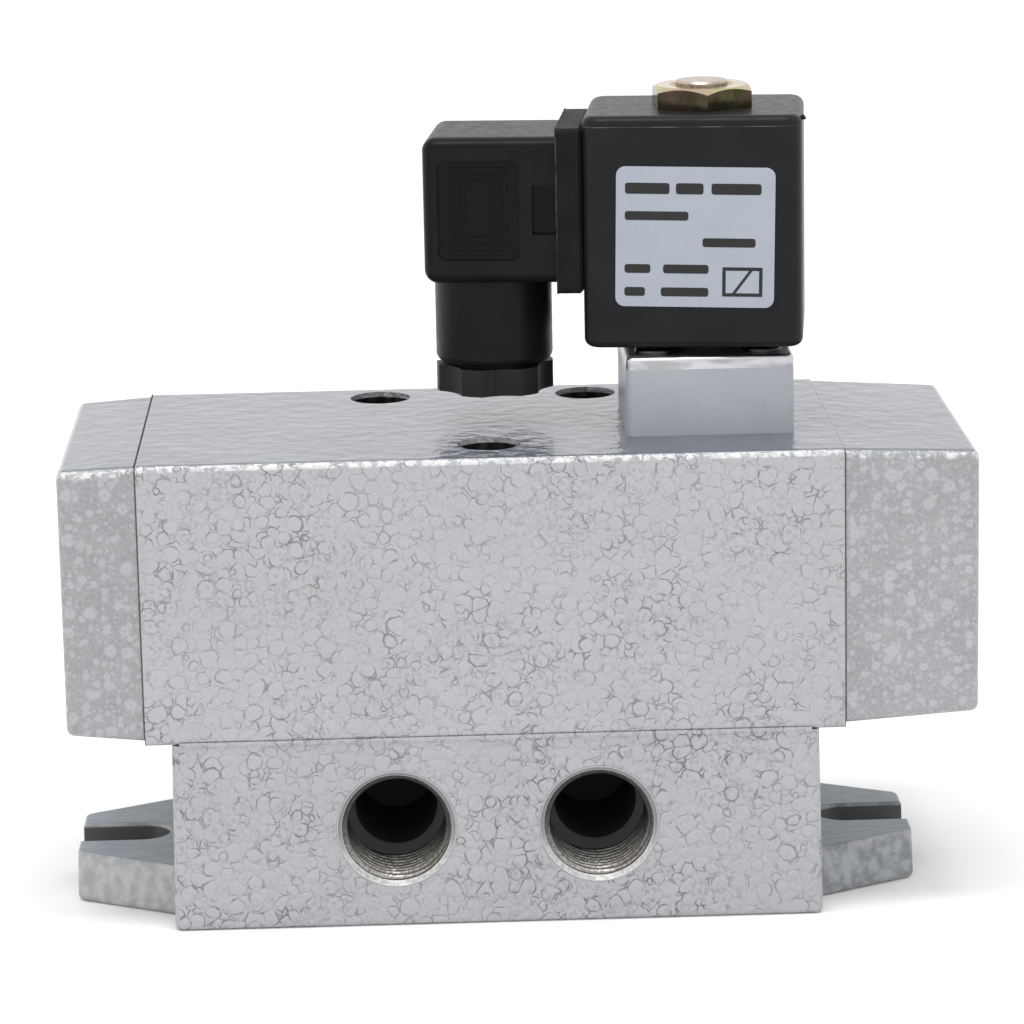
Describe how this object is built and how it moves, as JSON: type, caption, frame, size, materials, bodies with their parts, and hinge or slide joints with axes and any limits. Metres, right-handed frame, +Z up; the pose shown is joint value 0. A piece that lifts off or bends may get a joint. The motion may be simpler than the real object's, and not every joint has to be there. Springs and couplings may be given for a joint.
{
  "type": "solenoid directional valve",
  "caption": "Spring-returned spool valve on a drilled, eared base, with an upright solenoid pilot and a plug-in connector.",
  "frame": {"origin": "middle of the base's underside, on the spool's plane of symmetry", "axes": "+X along the spool towards the pilot cover, +Z up out of the body's top face, -Y towards the two consumer ports"},
  "size_m": [0.1741, 0.07, 0.157],
  "materials": {
    "hammertone": "silver hammertone enamel on aluminium castings",
    "pilot_grey": "satin grey",
    "bright_zinc": "bright zinc plate, satin",
    "yellow_zinc": "yellow iridescent zinc plate, gloss",
    "black_oxide": "black oxide, satin",
    "ground_steel": "polished",
    "spring_steel": "satin",
    "brass": "satin",
    "copper": "gloss enamelled copper wire",
    "seal_rubber": "matte",
    "gasket_rubber": "matte",
    "coil_plastic": "satin black overmould",
    "plug_plastic": "satin black",
    "white_plastic": "matte",
    "label": "satin silver film"
  },
  "bodies": {
    "valve": {"valve_base": "hammertone", "valve_body": "hammertone", "interface_gasket": "seal_rubber", "body_screws": "black_oxide", "spring_cover": "hammertone", "pilot_cover": "hammertone", "spring_cover_screws": "black_oxide", "pilot_cover_screws": "black_oxide", "spring_cover_seal": "seal_rubber", "pilot_cover_seal": "seal_rubber", "seal_cages": "brass", "spool_seals": "seal_rubber", "return_spring": "spring_steel", "pilot_block": "pilot_grey", "pilot_block_seals": "seal_rubber", "pilot_nozzle": "brass", "flange_plate": "bright_zinc", "flange_screws": "bright_zinc", "armature_tube": "ground_steel", "core_stem": "ground_steel", "armature_spring": "spring_steel", "tube_seal": "seal_rubber", "coil_ring": "seal_rubber"},
    "spool_group": {"spool": "ground_steel", "spring_seat": "ground_steel", "pilot_piston": "ground_steel", "piston_seal": "seal_rubber"},
    "armature_group": {"armature": "ground_steel", "armature_seal": "seal_rubber"},
    "coil_group": {"coil_housing": "coil_plastic", "coil_yoke": "bright_zinc", "coil_bobbin": "white_plastic", "coil_winding": "copper", "coil_label": "label", "terminal_blades": "brass", "plug_gasket": "gasket_rubber"},
    "coil_nut_body": {"coil_nut": "yellow_zinc"},
    "plug": {"plug_housing": "plug_plastic", "contact_insert": "plug_plastic", "contact_sockets": "brass", "gland_washer": "white_plastic", "gland_seal": "seal_rubber"},
    "plug_screw_body": {"plug_screw": "bright_zinc", "plug_screw_seal": "seal_rubber"},
    "gland_nut_body": {"gland_nut": "plug_plastic"}
  },
  "joints": [
    {"name": "spool_slide", "type": "slide", "parent": "valve", "child": "spool_group", "axis": [-1, 0, 0], "range_m": [0, 0.008], "stiffness_N_per_m": 2500, "springref_m": -0.006, "deforming": ["return_spring"]},
    {"name": "armature_slide", "type": "slide", "parent": "valve", "child": "armature_group", "axis": [0, 0, 1], "range_m": [0, 0.0015], "stiffness_N_per_m": 1500, "springref_m": -0.003, "deforming": ["armature_spring"]},
    {"name": "coil_swivel", "type": "hinge", "parent": "valve", "child": "coil_group", "pos_m": [0.0425, -0.0027, 0.13], "axis": [0, 0, 1], "continuous": true},
    {"name": "coil_nut_turn", "type": "hinge", "parent": "valve", "child": "coil_nut_body", "pos_m": [0.0425, -0.0027, 0.154], "axis": [0, 0, 1], "continuous": true},
    {"name": "plug_pull", "type": "slide", "parent": "coil_group", "child": "plug", "axis": [-0.9942, 0.108, 0], "range_m": [0, 0.025]},
    {"name": "plug_screw_turn", "type": "hinge", "parent": "plug", "child": "plug_screw_body", "pos_m": [-0.00999, 0.003, 0.1339], "axis": [0.9942, -0.108, 0], "continuous": true},
    {"name": "gland_nut_turn", "type": "hinge", "parent": "plug", "child": "gland_nut_body", "pos_m": [0.00204, 0.0017, 0.1], "axis": [0, 0, 1], "continuous": true}
  ]
}
